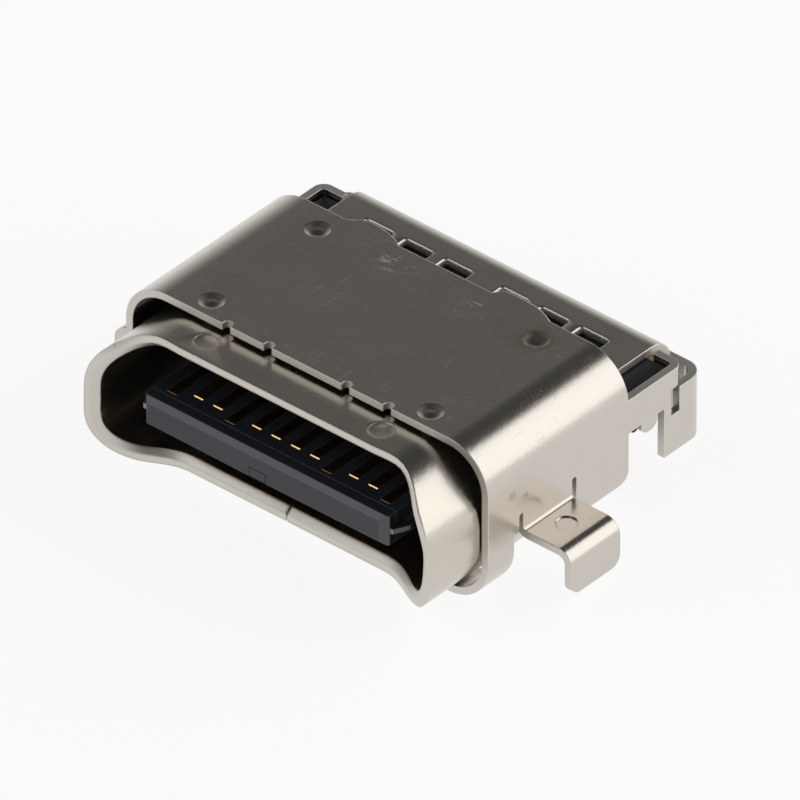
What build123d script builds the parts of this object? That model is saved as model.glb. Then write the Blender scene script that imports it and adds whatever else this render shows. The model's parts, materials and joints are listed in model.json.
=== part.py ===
from build123d import *
import os

# Mid-mount 24-contact reversible plug socket, in millimetres.
# While it is drawn, X runs across the opening, Y runs from the mouth to the rear and Z is up.
# Y = 0 is the mouth plane and Z = 0 the middle of the tongue; the last step moves it all onto its base.

# Opening and the rolled tube around it
opening_width = 8.34
opening_height = 2.56
tube_wall = 0.30
tube_low_corner = 0.84
nose_reach = 0.79
top_lip = -0.20
bottom_lip = 0.10
lip_corner = 1.67
lip_sweep = 2.15
lip_sections = 23
lead_in = 0.14
seam_gap = 0.04
tube_dimple_inset = 1.92
tube_dimple_y = 0.33
tube_dimple_radius = 0.28

# Sheet of the outer shell and cover, and the small pits pressed into it
sheet = 0.17
pit_depth = 0.03
pit_wall = 0.04

# Outer shell, one folded sheet
shell_side_gap = 0.03
shell_top_gap = 0.09
shell_corner = 1.03
shell_front = 0.71
collar_depth = 0.77
shell_rear = 4.91
skirt_bottom = -1.05
skirt_radius = 0.28
fold_round = 0.05

# Spot-weld dimples in the top of the outer shell
weld_inset = 1.85
weld_front_inset = 0.43
weld_rear_inset = 0.61
weld_radius = 0.27
weld_ring_radius = 0.15
weld_depth = 0.05
weld_nub_depth = 0.01
weld_boss_radius = 0.15
weld_boss_sides = 8

# Short tabs in the front edge of the top
tab_centre_x = 1.535
tab_width = 0.87
notch_width = 0.20
notch_depth = 0.15
notch_round = 0.07

# Raised bridges in the rear edge of the top
bridge_x = 1.96
bridge_width = 1.58
bridge_flat = 0.74
bridge_height = 0.21
bridge_length = 0.90
bridge_rises = [0.02, 0.50, 1.0]

# Wings that lie on the board, with legs that go through it
wing_gap = 0.28
wing_width = 1.46
wing_reach = 1.23
wing_top_z = -0.48
wing_bend = 0.26
side_edge_rise = 0.02
leg_length = 1.02
leg_corner = 0.26
skirt_gap = 0.05
relief_width = 0.12
relief_height = 0.43
wing_dimple_reach = 0.48
wing_dimple_radius = 0.24

# Slotted rear cover
cover_top = 0.95
cover_side_gap = 0.77
cover_gap = 0.15
cover_bend = 0.55
cover_bottom = -0.42
slot_first_x = 0.73
slot_pitch = 1.02
slot_pairs = 3
slot_width = 0.70
slot_length = 0.68
slot_inset = 0.39
slot_corner = 0.05

# Rear arms, feet and the strap behind the tails
arm_drop = 0.05
arm_split = 0.45
arm_bottom = 0.10
arm_bend = 0.17
arm_end_gap = 0.12
arm_overhang = 0.13
hook_inset = 0.39
hook_length = 0.48
hook_bottom = -0.17
hook_radius = 0.20
hook_gap = 0.21
foot_bottom = -1.08
foot_reach = 0.97
foot_corner = 0.30
slit_inset = 0.21
slit_width = 0.25
slit_bottom = -0.18
strap_top = 0.39
strap_gap = 0.66
strap_bend = 0.34
strap_bottom = -0.52

# Contacts
contact_count = 12
contact_row_inset = 1.42
contact_width = 0.25
contact_thickness = 0.15
contact_tip_slope = 0.04
signal_front = 0.06
power_front = -0.14
power_positions = [0, 3, 8, 11]

# Tongue and mid-plate
tongue_front = -0.60
tongue_margin = 0.265
tongue_thickness = 0.70
tip_length = 0.35
tip_chamfer = 0.11
tip_corner = 0.15
gate_x = -0.13
gate_z = -0.17
gate_radius = 0.14
gate_depth = 0.03
plate_thickness = 0.11
plate_step = 0.235
plate_front = -0.45
plate_corner = 0.16
plate_corner_length = 0.34
plate_tail = 0.14
latch_front = -0.05
latch_length = 0.85

# Insulators behind the tongue
shoulder_step = 0.16
shoulder_length = 1.00
shoulder_half_height = 0.80
wafer_half_height = 0.52
pad_thickness = 0.15
pad_inset = 0.08
plug_depth = 0.30
tube_overhang = 0.09
housing_length = 1.22
housing_bottom = -0.60
housing_cover_inset = 0.04
housing_ledge_z = 0.06
housing_side_gap = 0.05
wafer_inset = 0.36
peg_inset = 0.36
peg_z = -0.08
peg_radius = 0.13
fit_gap = 0.03

# Solder tails
tail_bend = 0.10
upper_tail_gap = 0.28
lower_tail_gap = 0.12
tail_row_gap = 0.08
tail_foot = 0.42

# Sizes that follow from the ones above
tube_width = opening_width + 2 * tube_wall
tube_height = opening_height + 2 * tube_wall
shell_half_width = tube_width / 2 + shell_side_gap + sheet
shell_half_height = tube_height / 2 + shell_top_gap + sheet
collar_rear = shell_front + collar_depth
wing_front = collar_rear + wing_gap
wing_rear = wing_front + wing_width
wing_outer_x = shell_half_width + wing_reach
side_edge_z = wing_top_z + side_edge_rise
relief_top = wing_top_z + relief_height
leg_bottom = wing_top_z - leg_length
skirt_front = wing_rear + skirt_gap
board_z = wing_top_z - sheet
cover_half_width = shell_half_width - cover_side_gap
cover_front = shell_rear + cover_gap
slot_front = cover_front + slot_inset
slot_rear = slot_front + slot_length
arm_top = cover_top - arm_drop
hook_front = shell_rear + hook_inset
hook_rear = hook_front + hook_length
foot_front = hook_rear + hook_gap
slit_front = foot_front + slit_inset
slit_rear = slit_front + slit_width
arm_end = slit_rear + arm_overhang
arm_inner_x = cover_half_width + arm_end_gap
strap_rear = arm_end + strap_gap
foot_inner_x = shell_half_width - foot_reach
contact_pitch = (opening_width - 2 * contact_row_inset) / (contact_count - 1)
row_half_width = (opening_width + contact_width) / 2 - contact_row_inset
tongue_half_width = row_half_width + tongue_margin
tongue_half = tongue_thickness / 2
plate_half = plate_thickness / 2
plate_half_width = tongue_half_width + plate_step
shoulder_half_width = tongue_half_width + shoulder_step
tube_rear = shell_rear + tube_overhang
housing_front = tube_rear - plug_depth
housing_rear = tube_rear + housing_length
housing_top = cover_top - sheet - fit_gap
housing_half_width = cover_half_width - housing_cover_inset
shoulder_front = housing_front - shoulder_length
wafer_rear = housing_rear - wafer_inset
plate_rear = wafer_rear + plate_tail
upper_tail_y = housing_rear + upper_tail_gap
lower_tail_y = wafer_rear + lower_tail_gap
upper_tail_end = upper_tail_y + tail_foot
lower_tail_end = upper_tail_y - contact_thickness / 2 - tail_row_gap
far = 2 * (strap_rear + nose_reach)


def block(x0, x1, y0, y1, z0, z1):
    """Box between two corners."""
    return Pos((x0 + x1) / 2, (y0 + y1) / 2, (z0 + z1) / 2) * Box(x1 - x0, y1 - y0, z1 - z0)


def both_sides(shape):
    """The shape and its mirror image across the middle."""
    return shape + mirror(shape, Plane.YZ)


def along_y(sketch, y0, y1):
    """Extrude a front-view sketch (X across, Z up) from y0 back to y1."""
    plane = Plane(origin=(0, y1, 0), x_dir=(1, 0, 0), z_dir=(0, -1, 0))
    return extrude(plane * sketch, amount=y1 - y0)


def along_x(sketch, x0, x1):
    """Extrude a side-view sketch (Y across, Z up) from x0 to x1."""
    return extrude(Plane(origin=(x0, 0, 0), x_dir=(0, 1, 0), z_dir=(1, 0, 0)) * sketch, amount=x1 - x0)


def upright(sketch, z0, z1):
    """Extrude a top-view sketch from z0 up to z1."""
    return extrude(Pos(0, 0, z0) * sketch, amount=z1 - z0)


def folded_strip(path, start, direction, across, width, thickness):
    """Sweep a sheet's cross-section along a filleted path."""
    section = Plane(origin=start, x_dir=across, z_dir=direction) * Rectangle(width, thickness)
    return sweep(section, path=path)


def pressed_pit(x, y, z, radius):
    """Shallow round pit with a sloped wall, to be cut out of a flat at height z."""
    floor = (Align.CENTER, Align.CENTER, Align.MIN)
    pit = Cone(radius - pit_wall, radius, pit_depth, align=floor)
    return Pos(x, y, z - pit_depth) * (pit + Pos(0, 0, pit_depth) * Cylinder(radius, pit_depth, align=floor))


def tube_section(grow):
    """Outline of the opening, full-round above and squarer below, grown outwards by a distance."""
    section = Rectangle(opening_width + 2 * grow, opening_height + 2 * grow)
    section = fillet(section.vertices().group_by(Axis.Y)[-1], opening_height / 2 + grow)
    return fillet(section.vertices().group_by(Axis.Y)[0], tube_low_corner + grow)


def lip_y(travel, lip):
    """Place of the front edge, a smooth step from the straight lip to the nose as travel grows."""
    share = min(max(travel / lip_sweep, 0), 1)
    return lip - (nose_reach + lip) * (3 * share ** 2 - 2 * share ** 3)


def mouth_section(edge_y, clear_y):
    """Space in front of the wall where the edge lies at edge_y, with the lead-in on the wall's inner side."""
    return make_face(Polyline(
        (tube_wall, -clear_y), (tube_wall, -edge_y), (lead_in - tube_wall / 2, -edge_y),
        (-tube_wall, -edge_y - lead_in - tube_wall / 2), (-tube_wall, -clear_y), close=True,
    ))


def mouth_cutter():
    """Space in front of the right half of the tube's front edge, its sections square to the wall."""
    half_width = (opening_width + tube_wall) / 2
    half_height = (opening_height + tube_wall) / 2
    low_radius = tube_low_corner + tube_wall / 2
    lip_straight = opening_width / 2 - lip_corner
    path = FilletPolyline(
        (0, half_height), (half_width, half_height), (half_width, -half_height), (0, -half_height),
        radius=[half_height, low_radius],
    )
    clear_y = -nose_reach - 2 * tube_wall
    sections = []
    for index in range(lip_sections + 1):
        travel = path.length * index / lip_sections
        point = path.position_at(travel, PositionMode.LENGTH)
        along = path.tangent_at(travel, PositionMode.LENGTH)
        if index <= lip_sections / 2:
            edge_y = lip_y(travel - lip_straight, top_lip)
        else:
            edge_y = lip_y(path.length - travel - lip_straight, bottom_lip)
        plane = Plane(
            origin=(point.X, 0, point.Y), x_dir=(-along.Y, 0, along.X), z_dir=(along.X, 0, along.Y))
        sections.append(plane * mouth_section(edge_y, clear_y))
    return loft(sections)


def make_inner_shell():
    """Thick sheet rolled into an oval tube, open seam underneath, with a scooped mouth."""
    tube = along_y(tube_section(tube_wall) - tube_section(0), -nose_reach - tube_wall, tube_rear)
    cutter = mouth_cutter()
    tube = tube - cutter - mirror(cutter, Plane.YZ)
    tube -= block(-seam_gap / 2, seam_gap / 2, -nose_reach - tube_wall, tube_rear, -tube_height, 0)
    dimple_x = opening_width / 2 - tube_dimple_inset
    top_pit = pressed_pit(dimple_x, tube_dimple_y, tube_height / 2, tube_dimple_radius)
    return tube - both_sides(top_pit)


def side_outline():
    """Side view of the outer shell's skirts between the front edge and the rear edge."""
    top = shell_half_height + bridge_height + sheet
    outline = FilletPolyline(
        (shell_front, top), (shell_front, -shell_half_height - sheet),
        (collar_rear, -shell_half_height - sheet), (collar_rear, side_edge_z),
        (skirt_front, side_edge_z), (skirt_front, skirt_bottom),
        (shell_rear, skirt_bottom), (shell_rear, top), (shell_front, top),
        radius=[0, 0, 0, fold_round, fold_round, skirt_radius / 2, skirt_radius, 0],
    )
    return make_face(outline)


def bridge_section(y, base, height, depth):
    """Cross-section of a bridge: a flat crown with soft ramps on both sides, standing on a base height."""
    side = bridge_width / 2
    crown = bridge_flat / 2
    top = Spline((-side, 0), (-crown, height), (crown, height), (side, 0), tangents=[(1, 0), (1, 0)])
    outline = make_face(top + Polyline((side, 0), (side, -depth), (-side, -depth), (-side, 0)))
    return Plane(origin=(0, y, base), x_dir=(1, 0, 0), z_dir=(0, -1, 0)) * outline


def make_bridge(base, depth):
    """Bridge that rises smoothly towards the rear edge, above a base height."""
    sections = []
    for index, rise in enumerate(bridge_rises):
        y = shell_rear - bridge_length * (1 - index / (len(bridge_rises) - 1))
        sections.append(bridge_section(y, base, bridge_height * rise, depth))
    return loft(sections)


def weld_dimple():
    """Ring pressed into the top sheet round a small nub, as the space that it takes out."""
    outline = Polyline((0, -weld_nub_depth), (weld_ring_radius, -weld_depth), (weld_radius, 0),
                       (weld_radius, sheet), (0, sheet), close=True)
    return revolve(Plane.XZ * make_face(outline), Axis.Z)


def make_wing():
    """Wing folded out of the side skirt, with its leg folded down at the end."""
    sheet_x = shell_half_width - sheet / 2
    wing_z = wing_top_z - sheet / 2
    leg_x = wing_outer_x - sheet / 2
    middle_y = (wing_front + wing_rear) / 2
    path = FilletPolyline(
        (sheet_x, middle_y, relief_top), (sheet_x, middle_y, wing_z),
        (leg_x, middle_y, wing_z), (leg_x, middle_y, leg_bottom),
        radius=[sheet, wing_bend],
    )
    wing = folded_strip(path, (sheet_x, middle_y, relief_top), (0, 0, -1), (1, 0, 0), sheet, wing_width)
    leg_view = Pos(middle_y, (relief_top + leg_bottom) / 2) * RectangleRounded(
        wing_width, relief_top - leg_bottom, leg_corner)
    corners = Pos(middle_y, leg_bottom) * Rectangle(2 * wing_width, 2 * leg_corner) - leg_view
    wing -= along_x(corners, wing_outer_x - 2 * sheet, wing_outer_x + sheet)
    return wing - pressed_pit(shell_half_width + wing_dimple_reach, middle_y, wing_top_z, wing_dimple_radius)


def make_strap():
    """Feet and the strap that joins them round the back."""
    sheet_x = shell_half_width - sheet / 2
    strap_y = strap_rear - sheet / 2
    middle_z = (strap_top + foot_bottom) / 2
    path = FilletPolyline(
        (sheet_x, foot_front, middle_z), (sheet_x, strap_y, middle_z),
        (-sheet_x, strap_y, middle_z), (-sheet_x, foot_front, middle_z),
        radius=[strap_bend, strap_bend],
    )
    strap = folded_strip(
        path, (sheet_x, foot_front, middle_z), (0, 1, 0), (1, 0, 0), sheet, strap_top - foot_bottom)
    strap -= block(-foot_inner_x, foot_inner_x, strap_rear - 2 * sheet, strap_rear + sheet,
                   foot_bottom - sheet, strap_bottom)
    strap -= both_sides(block(shell_half_width - 2 * sheet, shell_half_width + sheet,
                              slit_front, slit_rear, slit_bottom, strap_top + sheet))
    side_view = Pos((foot_front + strap_rear) / 2, 0) * RectangleRounded(
        strap_rear - foot_front, -2 * foot_bottom, foot_corner)
    corner = Pos(strap_rear, foot_bottom) * Rectangle(2 * foot_corner, 2 * foot_corner) - side_view
    return strap - along_x(corner, -shell_half_width - sheet, shell_half_width + sheet)


def make_arm():
    """Arm behind the side of the shell, with a hook below and its upper end folded in."""
    sheet_x = shell_half_width - sheet / 2
    arm_y = arm_end - sheet / 2
    arm_z = (arm_top + arm_split) / 2
    inside = shell_half_width - sheet
    path = FilletPolyline(
        (sheet_x, foot_front, arm_z), (sheet_x, arm_y, arm_z), (arm_inner_x, arm_y, arm_z), radius=arm_bend)
    arm = folded_strip(path, (sheet_x, foot_front, arm_z), (0, 1, 0), (1, 0, 0), sheet, arm_top - arm_split)
    arm += block(inside, shell_half_width, shell_rear - sheet, slit_front, arm_bottom, arm_top)
    hook_height = arm_bottom - hook_bottom + hook_radius
    hook = Pos((hook_front + hook_rear) / 2, hook_bottom + hook_height / 2) * RectangleRounded(
        hook_length, hook_height, hook_radius)
    return arm + along_x(hook, inside, shell_half_width)


def make_outer_shell():
    """Folded outer shell: collar, top, skirts, wings, arms, feet and strap in one sheet."""
    outer = RectangleRounded(2 * shell_half_width, 2 * shell_half_height, shell_corner)
    inner = RectangleRounded(
        2 * (shell_half_width - sheet), 2 * (shell_half_height - sheet), shell_corner - sheet)
    shell = along_y(outer - inner, shell_front, shell_rear)
    shell &= along_x(side_outline(), -shell_half_width, shell_half_width)
    for side in (-1, 1):
        notch_x = tab_centre_x + side * (tab_width + notch_width) / 2
        notch = Pos(notch_x, shell_front) * RectangleRounded(notch_width, 2 * notch_depth, notch_round)
        shell -= both_sides(upright(notch, shell_half_height - 2 * sheet, shell_half_height + sheet))
    bridge = make_bridge(shell_half_height, sheet / 2)
    hollow = make_bridge(shell_half_height - sheet, sheet)
    for side in (-1, 1):
        shell += Pos(side * bridge_x, 0, 0) * bridge
        shell -= Pos(side * bridge_x, 0, 0) * hollow
    weld_x = shell_half_width - weld_inset
    for weld_y in (shell_front + weld_front_inset, shell_rear - weld_rear_inset):
        boss_foot = tube_height / 2
        boss = upright(Pos(weld_x, weld_y) * RegularPolygon(weld_boss_radius, weld_boss_sides),
                       boss_foot, boss_foot + shell_top_gap + sheet / 2)
        dimple = Pos(weld_x, weld_y, shell_half_height) * weld_dimple()
        shell = shell + both_sides(boss) - both_sides(dimple)
    for slot_y in (wing_front - relief_width, wing_rear):
        slot = Pos(slot_y + relief_width / 2, side_edge_z) * SlotOverall(
            2 * (relief_top - side_edge_z), relief_width, rotation=90)
        shell -= both_sides(along_x(slot, shell_half_width - 2 * sheet, shell_half_width + sheet))
    return shell + both_sides(make_wing() + make_arm()) + make_strap()


def make_rear_cover():
    """Slotted plate behind the step, folded down over the back of the socket."""
    plate_z = cover_top - sheet / 2
    back_y = strap_rear - 3 * sheet / 2
    path = FilletPolyline(
        (0, cover_front, plate_z), (0, back_y, plate_z), (0, back_y, cover_bottom),
        radius=cover_bend - sheet / 2,
    )
    cover = folded_strip(path, (0, cover_front, plate_z), (0, 1, 0), (1, 0, 0), 2 * cover_half_width, sheet)
    slot = Pos(0, (slot_front + slot_rear) / 2) * RectangleRounded(slot_width, slot_length, slot_corner)
    for index in range(slot_pairs):
        slot_x = slot_first_x + index * slot_pitch
        cover -= both_sides(Pos(slot_x, 0, 0) * upright(slot, cover_top - 2 * sheet, cover_top + sheet))
    return cover


def contact_x(index):
    """Centre of one of the twelve contacts in a row."""
    return (index - (contact_count - 1) / 2) * contact_pitch


def contact_front(index):
    """Front end of a contact: the power contacts reach further forward."""
    return power_front if index in power_positions else signal_front


def make_contact(index, upper):
    """Flat contact blade in the tongue, folded down behind the wafers to its solder foot."""
    x = contact_x(index)
    front = contact_front(index)
    blade_rear = front + tip_length
    side = 1 if upper else -1
    level = (tongue_half - contact_thickness / 2) * side
    tail_y = upper_tail_y if upper else lower_tail_y
    tail_end = upper_tail_end if upper else lower_tail_end
    foot_z = board_z + contact_thickness / 2
    path = FilletPolyline(
        (x, blade_rear, level), (x, tail_y, level), (x, tail_y, foot_z), (x, tail_end, foot_z),
        radius=[tail_bend, tail_bend],
    )
    tail = folded_strip(path, (x, blade_rear, level), (0, 1, 0), (1, 0, 0), contact_width, contact_thickness)
    blade = Pos(x, (front + blade_rear) / 2, level) * Box(contact_width, tip_length, contact_thickness)
    if index not in power_positions:
        tip = blade.edges().filter_by(Axis.X).group_by(Axis.Y)[0].sort_by(Axis.Z)[-1 if upper else 0]
        blade = chamfer(tip, contact_tip_slope)
    return blade + tail


def make_mid_plate():
    """Steel plate in the middle of the tongue, notched at both sides for the plug's latches."""
    plate = block(-plate_half_width, plate_half_width, plate_front, shoulder_front, -plate_half, plate_half)
    taper = make_face(Polyline(
        (plate_half_width - plate_corner, plate_front), (plate_half_width, plate_front),
        (plate_half_width, plate_front + plate_corner_length), close=True,
    ))
    plate -= both_sides(upright(taper, -plate_half, plate_half))
    plate += block(-tongue_half_width, tongue_half_width, shoulder_front, plate_rear, -plate_half, plate_half)
    latch = block(tongue_half_width, plate_half_width, latch_front, latch_front + latch_length,
                  -plate_half, plate_half)
    return plate - both_sides(latch)


def make_tongue_tip():
    """Moulded nose of the tongue, chamfered all round its front, with its gate mark in front."""
    tip_rear = tongue_front + tip_length
    tip = block(-tongue_half_width, tongue_half_width, tongue_front, tip_rear, -tongue_half, tongue_half)
    tip = chamfer(tip.edges().filter_by(Axis.Z).group_by(Axis.Y)[0], tip_corner)
    tip = chamfer(tip.edges().filter_by(Axis.X).group_by(Axis.Y)[0], tip_chamfer)
    tip -= block(-tongue_half_width, tongue_half_width, plate_front, tip_rear, -plate_half, plate_half)
    gate = Pos(gate_x, gate_z) * Circle(gate_radius)
    return tip - along_y(gate, tongue_front - gate_depth, tongue_front + gate_depth)


def make_wafer(upper):
    """Insulator that carries one row of contacts, with the thick shoulder at the tongue's root."""
    tip_rear = tongue_front + tip_length
    wafer = block(-tongue_half_width, tongue_half_width, tip_rear, shoulder_front, plate_half, tongue_half)
    wafer += block(-shoulder_half_width, shoulder_half_width, shoulder_front, housing_front,
                   plate_half, shoulder_half_height)
    wafer += block(-shoulder_half_width, shoulder_half_width, housing_front, wafer_rear,
                   plate_half, wafer_half_height)
    for index in range(contact_count):
        x = contact_x(index)
        wafer -= block(x - contact_width / 2, x + contact_width / 2, contact_front(index), wafer_rear,
                       tongue_half - contact_thickness, tongue_half)
    return wafer if upper else mirror(wafer, Plane.XY)


def make_pad(upper):
    """Shield pad seated on the shoulder behind the tongue."""
    pad = block(-shoulder_half_width, shoulder_half_width, shoulder_front + pad_inset, housing_front,
                shoulder_half_height, shoulder_half_height + pad_thickness)
    return pad if upper else mirror(pad, Plane.XY)


def make_housing():
    """Main insulator: an oval plug that closes the tube and a block behind it under the cover."""
    plug = along_y(tube_section(-fit_gap), housing_front, tube_rear)
    side = shell_half_width - sheet - housing_side_gap
    body = block(-housing_half_width, housing_half_width, tube_rear, housing_rear,
                 housing_bottom, housing_top)
    ledge_rear = arm_end - sheet - fit_gap
    ledge = block(housing_half_width, side, tube_rear, ledge_rear, housing_ledge_z, housing_top)
    ledge += block(shoulder_half_width, housing_half_width, tube_rear, ledge_rear,
                   housing_ledge_z, housing_top)
    peg = Pos(tube_rear + peg_inset, peg_z) * Circle(peg_radius)
    body += both_sides(ledge + along_x(peg, shoulder_half_width, side))
    channel = block(-shoulder_half_width, shoulder_half_width, housing_front, far,
                    -wafer_half_height, wafer_half_height)
    tails = block(-shoulder_half_width, shoulder_half_width, wafer_rear, far,
                  housing_bottom, wafer_half_height)
    return plug + body - channel - tails


parts = {
    "inner_shell": make_inner_shell(),
    "outer_shell": make_outer_shell(),
    "rear_cover": make_rear_cover(),
    "housing": make_housing(),
    "upper_wafer": make_wafer(True),
    "lower_wafer": make_wafer(False),
    "tongue_tip": make_tongue_tip(),
    "mid_plate": make_mid_plate(),
    "upper_shield_pad": make_pad(True),
    "lower_shield_pad": make_pad(False),
}
for index in range(contact_count):
    parts[f"contact_a{index + 1:02d}"] = make_contact(index, True)
    parts[f"contact_b{contact_count - index:02d}"] = make_contact(index, False)

# Move the finished socket so that its base is at Z = 0 and its footprint is centred
boxes = [shape.bounding_box() for shape in parts.values()]
middle_x = (min(b.min.X for b in boxes) + max(b.max.X for b in boxes)) / 2
middle_y = (min(b.min.Y for b in boxes) + max(b.max.Y for b in boxes)) / 2
to_base = Pos(-middle_x, -middle_y, -min(b.min.Z for b in boxes))

os.makedirs("parts", exist_ok=True)
for name, shape in parts.items():
    export_step(to_base * shape, f"parts/{name}.step")
print("moved by", to_base.position)
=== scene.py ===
import bpy
import bmesh
import json
import math
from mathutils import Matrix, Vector
from mathutils.bvhtree import BVHTree


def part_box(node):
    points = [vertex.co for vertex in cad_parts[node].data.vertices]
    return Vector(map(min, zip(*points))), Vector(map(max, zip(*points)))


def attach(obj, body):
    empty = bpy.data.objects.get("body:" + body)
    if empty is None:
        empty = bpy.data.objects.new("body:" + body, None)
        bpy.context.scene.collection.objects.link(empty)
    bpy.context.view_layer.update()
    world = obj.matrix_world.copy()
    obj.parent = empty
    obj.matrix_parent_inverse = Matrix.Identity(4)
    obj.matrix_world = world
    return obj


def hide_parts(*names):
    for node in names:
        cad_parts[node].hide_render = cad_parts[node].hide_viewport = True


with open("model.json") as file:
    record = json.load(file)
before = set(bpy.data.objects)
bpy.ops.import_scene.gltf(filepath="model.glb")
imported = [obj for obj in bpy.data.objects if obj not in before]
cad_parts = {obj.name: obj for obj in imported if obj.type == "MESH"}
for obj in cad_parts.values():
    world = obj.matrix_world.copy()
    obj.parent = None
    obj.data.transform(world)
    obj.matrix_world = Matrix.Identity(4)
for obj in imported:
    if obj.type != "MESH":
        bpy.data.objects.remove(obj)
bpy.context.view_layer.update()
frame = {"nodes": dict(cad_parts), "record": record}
nodes = frame["nodes"]
mm = 0.001
bpy.context.scene.view_settings.view_transform = "Standard"
print("frame loaded,", len(nodes), "nodes")

# camera: a long lens from the front right, looking down on the socket
shot = {
    "azimuth": 40.75,
    "elevation": 36.02,
    "distance": 600 * mm,
    "target": (1.295 * mm, -1.225 * mm, 2.758 * mm),
    "span": 15.59 * mm,    # what the square picture shows across, at the target
    "sensor": 36,
    "clipStart": 10 * mm,
}


def viewDirection(azimuth, elevation):
    a, e = math.radians(azimuth), math.radians(elevation)
    return Vector((math.sin(a) * math.cos(e), -math.cos(a) * math.cos(e), math.sin(e)))


def makeCamera():
    data = bpy.data.cameras.new("productCamera")
    data.sensor_width = shot["sensor"]
    data.lens = data.sensor_width * shot["distance"] / shot["span"]
    data.clip_start = shot["clipStart"]
    camera = bpy.data.objects.new("productCamera", data)
    bpy.context.collection.objects.link(camera)
    back = viewDirection(shot["azimuth"], shot["elevation"])
    camera.location = Vector(shot["target"]) + back * shot["distance"]
    camera.rotation_euler = back.to_track_quat("Z", "Y").to_euler()
    bpy.context.scene.camera = camera


makeCamera()
print("camera placed")


# shared helpers for materials
def newMaterial(name):
    material = bpy.data.materials.new(name)
    material.use_nodes = True
    tree = material.node_tree
    return material, tree, tree.nodes["Principled BSDF"]


def addNode(tree, kind, inputs=None, **settings):
    node = tree.nodes.new(kind)
    for key, value in settings.items():
        setattr(node, key, value)
    for key, value in (inputs or {}).items():
        if isinstance(value, bpy.types.NodeSocket):
            tree.links.new(value, node.inputs[key])
        else:
            node.inputs[key].default_value = value
    return node


def mathNode(tree, operation, first, second=0.0, clamp=False):
    node = addNode(tree, "ShaderNodeMath", {0: first, 1: second}, operation=operation, use_clamp=clamp)
    return node.outputs[0]


def mixColor(tree, factor, first, second):
    mix = tree.nodes.new("ShaderNodeMix")
    mix.data_type = "RGBA"
    for label, value in (("Factor", factor), ("A", first), ("B", second)):
        socket = next(s for s in mix.inputs if s.enabled and s.name == label)
        if isinstance(value, bpy.types.NodeSocket):
            tree.links.new(value, socket)
        else:
            socket.default_value = value
    return next(s for s in mix.outputs if s.enabled)


floatIn = "NodeSocketFloat"
vectorIn = "NodeSocketVector"


def newGroup(name, inputs, outputs):
    # inputs are (label, kind, value); every output is a float
    group = bpy.data.node_groups.new(name, "ShaderNodeTree")
    for label, kind, value in inputs:
        socket = group.interface.new_socket(name=label, in_out="INPUT", socket_type=kind)
        socket.default_value = value
    for label in outputs:
        group.interface.new_socket(name=label, in_out="OUTPUT", socket_type=floatIn)
    start = group.nodes.new("NodeGroupInput")
    end = group.nodes.new("NodeGroupOutput")
    return group, start.outputs, end.inputs


def useGroup(tree, group, inputs):
    node = addNode(tree, "ShaderNodeGroup", node_tree=group)
    for key, value in inputs.items():
        node.inputs[key].default_value = value
    return node


def objectInMm(tree):
    coord = addNode(tree, "ShaderNodeTexCoord").outputs["Object"]
    scaled = addNode(tree, "ShaderNodeVectorMath", {0: coord, 1: (1 / mm,) * 3}, operation="MULTIPLY")
    return scaled.outputs[0]


# effects that several finishes use
platingNoise = {"Detail": 3.0, "Roughness": 0.6}


def makePlatingGroup():
    # fine orange peel of plated sheet, with a slow unevenness and a light handling haze
    group, source, result = newGroup(
        "platingSurface",
        [("Grain Size", floatIn, 0.07), ("Wave Size", floatIn, 1.2), ("Haze", floatIn, 0.06),
         ("Roughness", floatIn, 0.2)],
        ["Height", "Roughness", "Mottle"])
    place = objectInMm(group)
    grain, wave = [
        addNode(group, "ShaderNodeTexNoise", {
            "Vector": place, "Scale": mathNode(group, "DIVIDE", 1.0, source[size]), **platingNoise})
        for size in ("Grain Size", "Wave Size")]
    group.links.new(grain.outputs["Fac"], result["Height"])
    haze = mathNode(group, "MULTIPLY", wave.outputs["Fac"], source["Haze"])
    fineHaze = mathNode(group, "MULTIPLY", grain.outputs["Fac"], source["Haze"])
    rough = mathNode(group, "ADD", mathNode(group, "ADD", haze, fineHaze), source["Roughness"])
    group.links.new(rough, result["Roughness"])
    group.links.new(wave.outputs["Fac"], result["Mottle"])
    return group


def makeEdgeGroup():
    # band along an edge, where handling has rubbed it
    group, source, result = newGroup(
        "edgeWear", [("Width", floatIn, 0.03 * mm), ("Amount", floatIn, 0.5)], ["Mask"])
    plain = addNode(group, "ShaderNodeNewGeometry").outputs["Normal"]
    rounded = addNode(group, "ShaderNodeBevel", {"Radius": source["Width"]}, samples=4)
    match = addNode(group, "ShaderNodeVectorMath", {0: plain, 1: rounded.outputs[0]}, operation="DOT_PRODUCT")
    away = mathNode(group, "SUBTRACT", 1.0, match.outputs["Value"])
    group.links.new(mathNode(group, "MULTIPLY", away, source["Amount"], clamp=True), result["Mask"])
    return group


# noise values above "From" start to show, and show fully at "To"
rubPattern = {
    "lineDetail": 2.0, "lineFrom": 0.63, "lineTo": 0.70, "lineSpread": 0.35,
    "patchScale": 1.1, "patchDetail": 1.0, "patchFrom": 0.50, "patchTo": 0.62,
}


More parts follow.
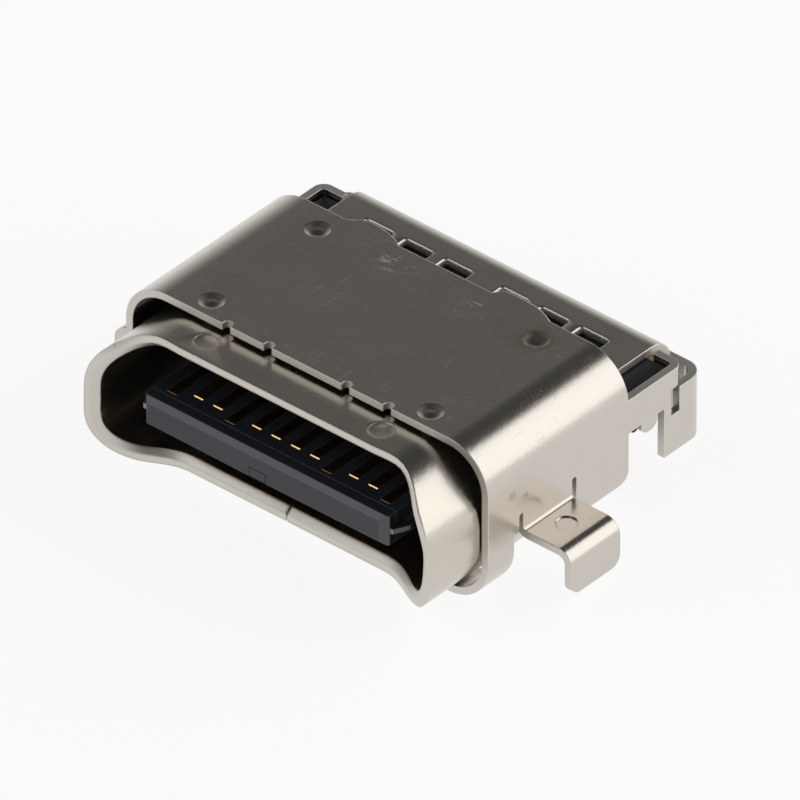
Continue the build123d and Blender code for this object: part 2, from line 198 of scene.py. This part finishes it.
def makeRubGroup():
    # short scuffs in one direction, broken up into patches; a larger spread covers more
    group, source, result = newGroup(
        "rubMarks",
        [("Stretch", vectorIn, (1, 1, 1)), ("Turn", vectorIn, (0, 0, 0)), ("Amount", floatIn, 0.5),
         ("Spread", floatIn, 0.0)],
        ["Mask"])
    place = objectInMm(group)
    turned = addNode(group, "ShaderNodeMapping", {
        "Vector": place, "Rotation": source["Turn"], "Scale": source["Stretch"]})
    lines = addNode(group, "ShaderNodeTexNoise", {
        "Vector": turned.outputs[0], "Scale": 1.0, "Detail": rubPattern["lineDetail"]})
    fineSpread = mathNode(group, "MULTIPLY", source["Spread"], rubPattern["lineSpread"])
    thin = addNode(group, "ShaderNodeMapRange", {
        "Value": mathNode(group, "ADD", lines.outputs["Fac"], fineSpread),
        "From Min": rubPattern["lineFrom"], "From Max": rubPattern["lineTo"]})
    patches = addNode(group, "ShaderNodeTexNoise", {
        "Vector": place, "Scale": rubPattern["patchScale"], "Detail": rubPattern["patchDetail"]})
    where = addNode(group, "ShaderNodeMapRange", {
        "Value": mathNode(group, "ADD", patches.outputs["Fac"], source["Spread"]),
        "From Min": rubPattern["patchFrom"], "From Max": rubPattern["patchTo"]})
    both = mathNode(group, "MULTIPLY", thin.outputs[0], where.outputs[0])
    group.links.new(mathNode(group, "MULTIPLY", both, source["Amount"], clamp=True), result["Mask"])
    return group


spotPattern = {"noiseScale": 7.0, "noiseDetail": 3.0, "swing": 4.0, "solidShare": 0.35}


def makeSpotGroup():
    # a ragged spot round a place, in mm, for stains and rubbed patches
    group, source, result = newGroup(
        "raggedSpot",
        [("Place", vectorIn, (0, 0, 0)), ("Radius", floatIn, 0.2), ("Ragged", floatIn, 0.1)],
        ["Mask"])
    place = objectInMm(group)
    away = addNode(group, "ShaderNodeVectorMath", {0: place, 1: source["Place"]}, operation="DISTANCE")
    noise = addNode(group, "ShaderNodeTexNoise", {
        "Vector": place, "Scale": spotPattern["noiseScale"], "Detail": spotPattern["noiseDetail"]})
    centred = mathNode(group, "SUBTRACT", noise.outputs["Fac"], 0.5)
    shift = mathNode(group, "MULTIPLY", centred, source["Ragged"])
    swing = mathNode(group, "MULTIPLY", shift, spotPattern["swing"])
    far = mathNode(group, "ADD", away.outputs["Value"], swing)
    fade = addNode(group, "ShaderNodeMapRange", {
        "Value": mathNode(group, "DIVIDE", far, source["Radius"]),
        "From Min": 1.0, "From Max": spotPattern["solidShare"]}, interpolation_type="SMOOTHSTEP")
    group.links.new(fade.outputs[0], result["Mask"])
    return group


platingGroup = makePlatingGroup()
edgeGroup = makeEdgeGroup()
rubGroup = makeRubGroup()
spotGroup = makeSpotGroup()

# one set of values for each metal finish; grain and round are in mm
metalFinishes = {
    "nickel_steel": {"color": (0.62, 0.58, 0.525, 1), "dark": (0.58, 0.54, 0.49, 1), "roughness": 0.15,
                     "haze": 0.09, "grain": 0.07, "peel": 0.20, "edge": 2.0, "round": 0.03, "rub": 0.4},
    "tube_steel": {"color": (0.62, 0.575, 0.51, 1), "dark": (0.57, 0.53, 0.47, 1), "roughness": 0.15,
                   "haze": 0.09, "grain": 0.07, "peel": 0.25, "edge": 1.0, "round": 0.07, "rub": 0.0},
    "cover_steel": {"color": (0.58, 0.54, 0.49, 1), "dark": (0.54, 0.51, 0.46, 1), "roughness": 0.20,
                    "haze": 0.08, "grain": 0.07, "peel": 0.18, "edge": 4.0, "round": 0.045, "rub": 0.3},
    # painted shade: the mid plate's colours are set dark to stand in for the shade it lies in inside the
    # shell
    "plate_steel": {"color": (0.27, 0.26, 0.25, 1), "dark": (0.20, 0.19, 0.18, 1), "roughness": 0.38,
                    "haze": 0.08, "grain": 0.06, "peel": 0.3, "edge": 1.0, "round": 0.02, "rub": 0.0},
    "contact_gold": {"color": (0.90, 0.60, 0.24, 1), "dark": (0.80, 0.50, 0.18, 1), "roughness": 0.13,
                     "haze": 0.06, "grain": 0.06, "peel": 0.15, "edge": 0.0, "round": 0.02, "rub": 0.0},
}
cutEdge = {"color": (0.66, 0.63, 0.58, 1), "roughness": 0.50}    # sheared faces of the sheets
wornEdge = (0.78, 0.75, 0.71, 1)
brownStain = (0.24, 0.15, 0.09, 1)
# dark of the burnt weld rings, also used as painted shade on the tube
burntRingAndShade = (0.06, 0.05, 0.045, 1)
paleScuff = (0.74, 0.71, 0.67, 1)
# marks the photograph shows, at their places in mm: welds are burnt dark, one has a brown stain
marks = {
    "nickel_steel": [
        {"place": (2.82, 1.08, 3.68), "radius": 0.62, "ragged": 0.10, "strength": 0.55, "color": brownStain},
        {"place": (2.82, 1.08, 3.64), "radius": 0.30, "ragged": 0.04, "strength": 0.70, "color": burntRingAndShade},
        {"place": (-2.82, 1.08, 3.64), "radius": 0.30, "ragged": 0.04, "strength": 0.65, "color": burntRingAndShade},
        {"place": (2.82, -2.08, 3.64), "radius": 0.30, "ragged": 0.04, "strength": 0.60, "color": burntRingAndShade},
        {"place": (-2.82, -2.08, 3.64), "radius": 0.30, "ragged": 0.04, "strength": 0.60, "color": burntRingAndShade},
        {"place": (4.67, -1.80, 2.36), "radius": 0.16, "ragged": 0.04, "strength": 0.28, "color": brownStain},
        {"place": (4.67, -1.39, 2.17), "radius": 0.09, "ragged": 0.02, "strength": 0.45, "color": brownStain},
    ],
    # painted shade: two dark patches on the tube's upper left bend at the rim, standing in for the shade in
    # the groove behind it
    "tube_steel": [
        {"place": (-3.75, -3.95, 3.16), "radius": 0.26, "ragged": 0.14, "strength": 0.85, "color": burntRingAndShade},
        {"place": (-3.35, -3.82, 3.35), "radius": 0.22, "ragged": 0.14, "strength": 0.70, "color": burntRingAndShade},
    ],
}
scuffs = {    # patches of the top that are scratched paler
    "nickel_steel": [
        {"place": (-1.08, 1.17, 3.68), "radius": 0.45}, {"place": (1.12, 0.98, 3.68), "radius": 0.42},
        {"place": (-0.55, 1.35, 3.68), "radius": 0.25},
    ],
}
# directions of the fine scratches, and how much rougher each kind of wear is than clean plating
wear = {
    "rubs": [{"Stretch": (14, 1.6, 14), "Turn": (0, 0, 0.5)},
             {"Stretch": (2.0, 18, 18), "Turn": (0, 0, -0.25)}],
    "scuffLines": {"Stretch": (3.2, 16, 8), "Turn": (0, 0, -0.45), "Amount": 1.0, "Spread": 0.22},
    "scuffRagged": 0.12,
    "rubRough": 0.30, "markRough": 0.25, "scuffRough": 0.35,
}
bumpDepth = 0.01 * mm


def roughen(tree, rough, share, amount):
    return mathNode(tree, "ADD", rough, mathNode(tree, "MULTIPLY", share, amount))


def setSurface(tree, shader, color, rough, height, peel, radius):
    # the common end of every finish: small edges look rounded, and the grain shows as bump
    rounded = addNode(tree, "ShaderNodeBevel", {"Radius": radius}, samples=8)
    bump = addNode(tree, "ShaderNodeBump", {
        "Strength": peel, "Distance": bumpDepth, "Height": height, "Normal": rounded.outputs[0]})
    tree.links.new(color, shader.inputs["Base Color"])
    tree.links.new(rough, shader.inputs["Roughness"])
    tree.links.new(bump.outputs["Normal"], shader.inputs["Normal"])


def makeMetal(name, finish):
    material, tree, shader = newMaterial(name)
    plating = useGroup(tree, platingGroup, {
        "Grain Size": finish["grain"], "Haze": finish["haze"], "Roughness": finish["roughness"]})
    color = mixColor(tree, plating.outputs["Mottle"], finish["dark"], finish["color"])
    rough = plating.outputs["Roughness"]
    if finish["rub"]:
        for direction in wear["rubs"]:
            rub = useGroup(tree, rubGroup, {**direction, "Amount": finish["rub"]})
            rough = roughen(tree, rough, rub.outputs["Mask"], wear["rubRough"])
    for spot in marks.get(name, []):
        mask = useGroup(tree, spotGroup, {
            "Place": spot["place"], "Radius": spot["radius"], "Ragged": spot["ragged"]})
        share = mathNode(tree, "MULTIPLY", mask.outputs["Mask"], spot["strength"])
        color = mixColor(tree, share, color, spot["color"])
        rough = roughen(tree, rough, share, wear["markRough"])
    for patch in scuffs.get(name, []):
        mask = useGroup(tree, spotGroup, {
            "Place": patch["place"], "Radius": patch["radius"], "Ragged": wear["scuffRagged"]})
        lines = useGroup(tree, rubGroup, wear["scuffLines"])
        share = mathNode(tree, "MULTIPLY", mask.outputs["Mask"], lines.outputs["Mask"])
        color = mixColor(tree, share, color, paleScuff)
        rough = roughen(tree, rough, share, wear["scuffRough"])
    cut = addNode(tree, "ShaderNodeAttribute", attribute_name="cutFace").outputs["Fac"]
    color = mixColor(tree, cut, color, cutEdge["color"])
    rough = addNode(tree, "ShaderNodeMix", {"Factor": cut, "A": rough, "B": cutEdge["roughness"]}).outputs[0]
    rubbed = useGroup(tree, edgeGroup, {"Amount": finish["edge"]})
    color = mixColor(tree, rubbed.outputs["Mask"], color, wornEdge)
    setSurface(tree, shader, color, rough, plating.outputs["Height"], finish["peel"], finish["round"] * mm)
    shader.inputs["Metallic"].default_value = 1.0
    return material


# the rubbed colour also paints the slanted faces of the nose paler, a painted highlight
plasticFinishes = {
    "tongue_plastic": {"color": (0.016, 0.018, 0.026, 1), "pale": (0.024, 0.027, 0.038, 1), "roughness": 0.33,
                       "grain": 0.05, "peel": 0.4, "rubbed": (0.13, 0.135, 0.155, 1)},
    "black_moulding": {"color": (0.008, 0.009, 0.012, 1), "pale": (0.016, 0.017, 0.022, 1), "roughness": 0.45,
                       "grain": 0.05, "peel": 0.5, "rubbed": (0.05, 0.05, 0.055, 1)},
}
plasticEdges = {"haze": 0.08, "width": 0.05 * mm, "amount": 2.0, "round": 0.03 * mm}


def makePlastic(name, finish):
    material, tree, shader = newMaterial(name)
    surface = useGroup(tree, platingGroup, {
        "Grain Size": finish["grain"], "Haze": plasticEdges["haze"], "Roughness": finish["roughness"]})
    color = mixColor(tree, surface.outputs["Mottle"], finish["color"], finish["pale"])
    rubbed = useGroup(tree, edgeGroup, {"Width": plasticEdges["width"], "Amount": plasticEdges["amount"]})
    color = mixColor(tree, rubbed.outputs["Mask"], color, finish["rubbed"])
    # painted highlight: the chamfer faces at the nose take the paler rubbed colour, standing in for the light
    # on them
    chamferHighlight = addNode(tree, "ShaderNodeAttribute", attribute_name="chamferFace").outputs["Fac"]
    color = mixColor(tree, chamferHighlight, color, finish["rubbed"])
    setSurface(tree, shader, color, surface.outputs["Roughness"], surface.outputs["Height"], finish["peel"],
               plasticEdges["round"])
    return material


materials = {name: makeMetal(name, finish) for name, finish in metalFinishes.items()}
materials.update({name: makePlastic(name, finish) for name, finish in plasticFinishes.items()})

slotOf = {entry["node"]: entry["material_slot"] for entry in frame["record"]["subparts"]}
for name, piece in nodes.items():
    piece.data.materials.clear()
    piece.data.materials.append(materials[slotOf[name]])
print("finishes set on", len(nodes), "nodes")


# finished copies of nodes: the same shape, with what the plain node can't carry
def standIn(piece, name):
    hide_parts(name)
    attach(piece, "root")


meshCare = {
    "weld": 0.0005 * mm,      # points closer than this are one point
    "flat": 0.5,              # faces that turn less than this, in degrees, are one face
    "onPlane": 0.0002 * mm,   # points this near a cutting plane lie on it
}
sheetThickness = 0.17 * mm
cutTest = {"skin": 0.002 * mm, "depth": sheetThickness * 1.6}


def markCutFaces(mesh):
    # a face is sheared where the metal behind it is deeper than the sheet is thick
    tree = BVHTree.FromPolygons([v.co for v in mesh.vertices], [p.vertices for p in mesh.polygons])
    layer = mesh.attributes.new("cutFace", "FLOAT", "FACE")
    for face in mesh.polygons:
        start = Vector(face.center) - face.normal * cutTest["skin"]
        hit = tree.ray_cast(start, -face.normal)
        depth = hit[3] if hit[0] is not None else math.inf
        layer.data[face.index].value = 1.0 if depth > cutTest["depth"] else 0.0


def cleanMesh(work):
    bmesh.ops.remove_doubles(work, verts=work.verts, dist=meshCare["weld"])
    bmesh.ops.dissolve_limit(
        work, angle_limit=math.radians(meshCare["flat"]), use_dissolve_boundaries=False,
        verts=work.verts, edges=work.edges)


def openNode(name):
    work = bmesh.new()
    work.from_mesh(nodes[name].data)
    cleanMesh(work)
    return work


def closeCopy(work, name, sharpAngle):
    mesh = bpy.data.meshes.new(name + "Finished")
    work.to_mesh(mesh)
    work.free()
    mesh.materials.append(materials[slotOf[name]])
    for label in ("custom_normal", "sharp_face", "sharp_edge"):
        layer = mesh.attributes.get(label)
        if layer:
            mesh.attributes.remove(layer)
    mesh.shade_smooth()
    mesh.set_sharp_from_angle(angle=math.radians(sharpAngle))
    piece = bpy.data.objects.new(name + "Finished", mesh)
    bpy.context.collection.objects.link(piece)
    weighted = piece.modifiers.new("flatNormals", "WEIGHTED_NORMAL")
    weighted.keep_sharp = True
    standIn(piece, name)
    return piece


def looseObject(name, work):
    mesh = bpy.data.meshes.new(name)
    work.to_mesh(mesh)
    work.free()
    loose = bpy.data.objects.new(name, mesh)
    bpy.context.collection.objects.link(loose)
    return loose


def roundEdges(work, edges, width, segments, clamp=True):
    bmesh.ops.bevel(work, geom=edges, offset=width, offset_type="OFFSET", segments=segments, profile=0.5,
                    affect="EDGES", clamp_overlap=clamp, material=-1)


def cutAcross(work, faces, point, normal):
    # new edges where a plane crosses these faces
    geom = set(faces)
    for face in faces:
        geom.update(face.edges)
        geom.update(face.verts)
    bmesh.ops.bisect_plane(
        work, geom=list(geom), plane_co=point, plane_no=normal, dist=meshCare["onPlane"])


# the cover's slots have their upper rims rolled over by the punch, in mm
slotRims = {"top": 2.79, "near": 0.005, "from": 2.2, "to": 2.94, "upright": 0.1, "round": 0.06, "segments": 3,
            "sharp": 16}


def makeCover():
    work = openNode("rear_cover")
    rims = [e for e in work.edges if len(e.link_faces) == 2
            and all(abs(v.co.z - slotRims["top"] * mm) < slotRims["near"] * mm for v in e.verts)
            and all(slotRims["from"] * mm < v.co.y < slotRims["to"] * mm for v in e.verts)
            and min(abs(f.normal.z) for f in e.link_faces) < slotRims["upright"]]
    print("cover: slot rim edges", len(rims))
    roundEdges(work, rims, slotRims["round"] * mm, slotRims["segments"], clamp=False)
    piece = closeCopy(work, "rear_cover", slotRims["sharp"])
    markCutFaces(piece.data)


makeCover()

# flat tabs on the rear edge of the top, in mm: points of the edge and how far they stand back
rearTabs = {
    "top": 3.68, "rear": 1.688, "front": 0.74, "inner": 1.10, "outer": 2.80,
    "round": 0.07, "segments": 4, "standOut": 0.005, "near": 0.001, "sharp": 16,
    "clearBehind": 0.3, "clearAbove": 0.5,    # how far the cut that removes the bridges reaches
    "weld": (2.50, 1.40),    # the plate stops short of the weld dimple
    "left": [(-2.62, 0), (-2.50, 0.10), (-2.36, 0.22), (-2.22, 0.26), (-2.05, 0.26), (-1.85, 0.24),
             (-1.68, 0.21), (-1.53, 0.16), (-1.38, 0.10), (-1.26, 0.03), (-1.18, 0)],
    "right": [(1.15, 0), (1.20, 0.13), (1.27, 0.23), (1.38, 0.26), (1.65, 0.265), (1.91, 0.255),
              (2.10, 0.24), (2.27, 0.20), (2.43, 0.14), (2.58, 0.07), (2.70, 0)],
}


def makePrism(outline, low, high, roundBehind=None):
    # a closed plate with this outline, given in mm; its top edge is rounded where it stands out behind
    work = bmesh.new()
    face = work.faces.new([work.verts.new((x * mm, y * mm, low * mm)) for x, y in outline])
    grown = bmesh.ops.extrude_face_region(work, geom=[face])["geom"]
    bmesh.ops.translate(work, verts=[v for v in grown if isinstance(v, bmesh.types.BMVert)],
                        vec=(0, 0, (high - low) * mm))
    bmesh.ops.recalc_face_normals(work, faces=work.faces)
    if roundBehind is not None:
        rim = [e for e in work.edges if all(v.co.z > (high - rearTabs["near"]) * mm for v in e.verts)
               and max(v.co.y for v in e.verts) > roundBehind * mm]
        roundEdges(work, rim, rearTabs["round"] * mm, rearTabs["segments"])
    return looseObject("prism", work)


def makeOuterShell():
    # the CAD's soft bridges become flat tabs in the plane of the top
    shell = looseObject("shellWork", openNode("outer_shell"))
    top, rear, front = rearTabs["top"], rearTabs["rear"], rearTabs["front"]
    inner, outer = rearTabs["inner"], rearTabs["outer"]
    weldX, weldY = rearTabs["weld"]
    low = top - sheetThickness / mm
    behind = rear + rearTabs["clearBehind"]
    tools = []
    for side, points in ((-1, rearTabs["left"]), (1, rearTabs["right"])):
        rearEdge = [(x, rear + back) for x, back in points]
        rearEdge = rearEdge[::-1] if side > 0 else rearEdge
        field = [(side * x, y) for x, y in (
            (inner, front), (weldX, front), (weldX, weldY), (outer, weldY), (outer, rear))]
        plate = field + rearEdge + [(side * inner, rear)]
        above = [(side * x, y) for x, y in (
            (inner, front), (outer, front), (outer, behind), (inner, behind))]
        tools.append(("DIFFERENCE", makePrism(above, top, top + rearTabs["clearAbove"])))
        tools.append(("UNION", makePrism(plate, low, top, rear + rearTabs["standOut"])))
    for operation, tool in tools:
        step = shell.modifiers.new(operation, "BOOLEAN")
        step.operation = operation
        step.solver = "MANIFOLD"
        step.object = tool
    baked = bpy.data.meshes.new_from_object(shell.evaluated_get(bpy.context.evaluated_depsgraph_get()))
    for done in [shell] + [tool for operation, tool in tools]:
        bpy.data.objects.remove(done)
    work = bmesh.new()
    work.from_mesh(baked)
    cleanMesh(work)
    print("outer shell: faces", len(work.faces), "open edges", sum(not e.is_manifold for e in work.edges))
    piece = closeCopy(work, "outer_shell", rearTabs["sharp"])
    markCutFaces(piece.data)


makeOuterShell()

# the mouth's rim: rounded lead-in and lip, and the upper corners set back before they sweep out
mouthRim = {
    "width": 0.05 * mm, "segments": 3, "rimAngle": 30, "reach": 1.3 * mm, "sharp": 25,
    "rough": 0.6, "facing": -0.15,    # faces that look forward this much are as rough as a sheared edge
    # the upper lip is set back between two points of travel along the oval, in mm from the middle
    "setBack": 0.15 * mm, "setBackFrom": 2.45, "setBackTo": 4.25, "straight": 2.89, "bend": 1.47,
}


def makeTube():
    work = openNode("inner_shell")
    low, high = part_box("inner_shell")
    middle = (low.z + high.z) / 2
    front = low.y

    def rimEdges():
        return [e for e in work.edges if len(e.link_faces) == 2
                and e.calc_face_angle(0) > math.radians(mouthRim["rimAngle"])
                and max(v.co.y for v in e.verts) < front + mouthRim["reach"]]

    for vert in {v for e in rimEdges() for v in e.verts}:
        x, z = abs(vert.co.x) / mm, (vert.co.z - middle) / mm
        if z < 0:
            continue
        turn = math.atan2(max(x - mouthRim["straight"], 0), z)
        travel = x if x < mouthRim["straight"] else mouthRim["straight"] + mouthRim["bend"] * turn
        share = (travel - mouthRim["setBackFrom"]) / (mouthRim["setBackTo"] - mouthRim["setBackFrom"])
        if 0 < share < 1:
            vert.co.y += mouthRim["setBack"] * math.sin(math.pi * share) ** 2
    roundEdges(work, rimEdges(), mouthRim["width"], mouthRim["segments"])
    piece = closeCopy(work, "inner_shell", mouthRim["sharp"])
    layer = piece.data.attributes.new("cutFace", "FLOAT", "FACE")
    for face in piece.data.polygons:
        layer.data[face.index].value = mouthRim["rough"] if face.normal.y < mouthRim["facing"] else 0.0


makeTube()

# the moulding's gate mark, a shallow rectangle in the tongue's nose, in mm
gateMark = {"x": -0.135, "z": -0.16, "width": 0.44, "height": 0.27, "groove": 0.035, "deep": 0.05}
# the nose plane and the slanted faces round it, which are painted paler as a painted highlight
tongueNose = {"near": 0.002 * mm, "markReach": 0.2 * mm, "sharp": 30,
              "slantFrom": 0.4, "slantTo": 0.9, "chamferReach": 0.2 * mm}


def makeTongueTip():
    work = openNode("tongue_tip")
    low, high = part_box("tongue_tip")
    centre = Vector((gateMark["x"] * mm, low.y, (low.z + high.z) / 2 + gateMark["z"] * mm))

    def noseFaces():
        return [f for f in work.faces if all(abs(v.co.y - low.y) < tongueNose["near"] for v in f.verts)]

    for vert in work.verts:
        if (vert.co - centre).length < tongueNose["markReach"]:
            vert.co.y = low.y
    bmesh.ops.remove_doubles(work, verts=work.verts, dist=tongueNose["near"])
    bmesh.ops.dissolve_faces(work, faces=noseFaces(), use_verts=True)
    halfWide, halfHigh = gateMark["width"] * mm / 2, gateMark["height"] * mm / 2
    for offset, normal in ((Vector((-halfWide, 0, 0)), (1, 0, 0)), (Vector((halfWide, 0, 0)), (1, 0, 0)),
                           (Vector((0, 0, -halfHigh)), (0, 0, 1)), (Vector((0, 0, halfHigh)), (0, 0, 1))):
        cutAcross(work, noseFaces(), centre + offset, normal)
    mark = min(noseFaces(), key=lambda f: (f.calc_center_median() - centre).length)
    groove = bmesh.ops.inset_individual(work, faces=[mark], thickness=gateMark["groove"] * mm)["faces"]
    sunk = bmesh.ops.extrude_face_region(work, geom=groove)["geom"]
    bmesh.ops.translate(work, verts=[v for v in sunk if isinstance(v, bmesh.types.BMVert)],
                        vec=(0, gateMark["deep"] * mm, 0))
    bmesh.ops.delete(work, geom=groove, context="FACES")
    piece = closeCopy(work, "tongue_tip", tongueNose["sharp"])
    # painted highlight: flag the slanted faces at the nose, which the tongue's finish paints paler
    layer = piece.data.attributes.new("chamferFace", "FLOAT", "FACE")
    for face in piece.data.polygons:
        slant = tongueNose["slantFrom"] < -face.normal.y < tongueNose["slantTo"]
        atNose = face.center.y < low.y + tongueNose["chamferReach"]
        layer.data[face.index].value = 1.0 if slant and atNose else 0.0


makeTongueTip()
print("outer shell, tube and tongue tip finished")

# the stage: a pale floor and soft light
stageSet = {
    "floorSize": 600 * mm,
    "floorUnder": 0.002 * mm,    # the floor lies this far below the feet
    "floorColor": (0.86, 0.86, 0.85, 1),
    "floorRoughness": 0.9,
    "floorGlow": 1.12,       # what the camera and the metal see of the floor
    "floorGlowShare": 0.78,  # the rest is plain floor, which keeps the shadow
    "background": 1.0,
    "lowSky": 0.94, "highSky": 0.055, "skyHeights": (-0.17, 0.75),
    "boxes": [
        {"toward": (0.70, 0.61, 0.38), "inner": 29, "outer": 40, "strength": 1.65},
        {"toward": (-0.47, -0.57, 0.67), "inner": 14, "outer": 28, "strength": 1.3},
    ],
}


def makeFloor():
    bpy.ops.mesh.primitive_plane_add(size=stageSet["floorSize"], location=(0, 0, -stageSet["floorUnder"]))
    floor = bpy.context.object
    floor.name = "paleFloor"
    material, tree, shader = newMaterial("paleFloor")
    shader.inputs["Base Color"].default_value = stageSet["floorColor"]
    shader.inputs["Roughness"].default_value = stageSet["floorRoughness"]
    path = addNode(tree, "ShaderNodeLightPath")
    seen = mathNode(tree, "MAXIMUM", path.outputs["Is Camera Ray"], path.outputs["Is Glossy Ray"])
    glow = addNode(tree, "ShaderNodeEmission", {"Strength": stageSet["floorGlow"]})
    blend = addNode(tree, "ShaderNodeMixShader", {
        0: mathNode(tree, "MULTIPLY", seen, stageSet["floorGlowShare"]), 1: shader.outputs[0],
        2: glow.outputs[0]})
    tree.links.new(blend.outputs[0], tree.nodes["Material Output"].inputs["Surface"])
    floor.data.materials.append(material)


def makeWorld():
    # a sky that darkens upward, with two bright soft boxes, angles in degrees
    world = bpy.data.worlds.new("studio")
    bpy.context.scene.world = world
    world.use_nodes = True
    tree = world.node_tree
    background = tree.nodes["Background"]
    direction = addNode(tree, "ShaderNodeTexCoord").outputs["Generated"]
    height = addNode(tree, "ShaderNodeSeparateXYZ", {0: direction}).outputs["Z"]
    low, high = stageSet["skyHeights"]
    sky = addNode(tree, "ShaderNodeMapRange", {
        "Value": height, "From Min": low, "From Max": high, "To Min": stageSet["lowSky"],
        "To Max": stageSet["highSky"]}, interpolation_type="SMOOTHSTEP").outputs[0]
    for box in stageSet["boxes"]:
        toward = addNode(tree, "ShaderNodeVectorMath", {
            0: direction, 1: Vector(box["toward"]).normalized()}, operation="DOT_PRODUCT")
        inside = addNode(tree, "ShaderNodeMapRange", {
            "Value": toward.outputs["Value"], "From Min": math.cos(math.radians(box["outer"])),
            "From Max": math.cos(math.radians(box["inner"]))}, interpolation_type="SMOOTHSTEP").outputs[0]
        sky = addNode(tree, "ShaderNodeMix", {"Factor": inside, "A": sky, "B": box["strength"]}).outputs[0]
    cameraRay = addNode(tree, "ShaderNodeLightPath").outputs["Is Camera Ray"]
    seen = addNode(tree, "ShaderNodeMix", {
        "Factor": cameraRay, "A": sky, "B": stageSet["background"]}).outputs[0]
    tree.links.new(seen, background.inputs["Strength"])
    background.inputs["Color"].default_value = (1, 1, 1, 1)


makeFloor()
makeWorld()
print("stage lit")
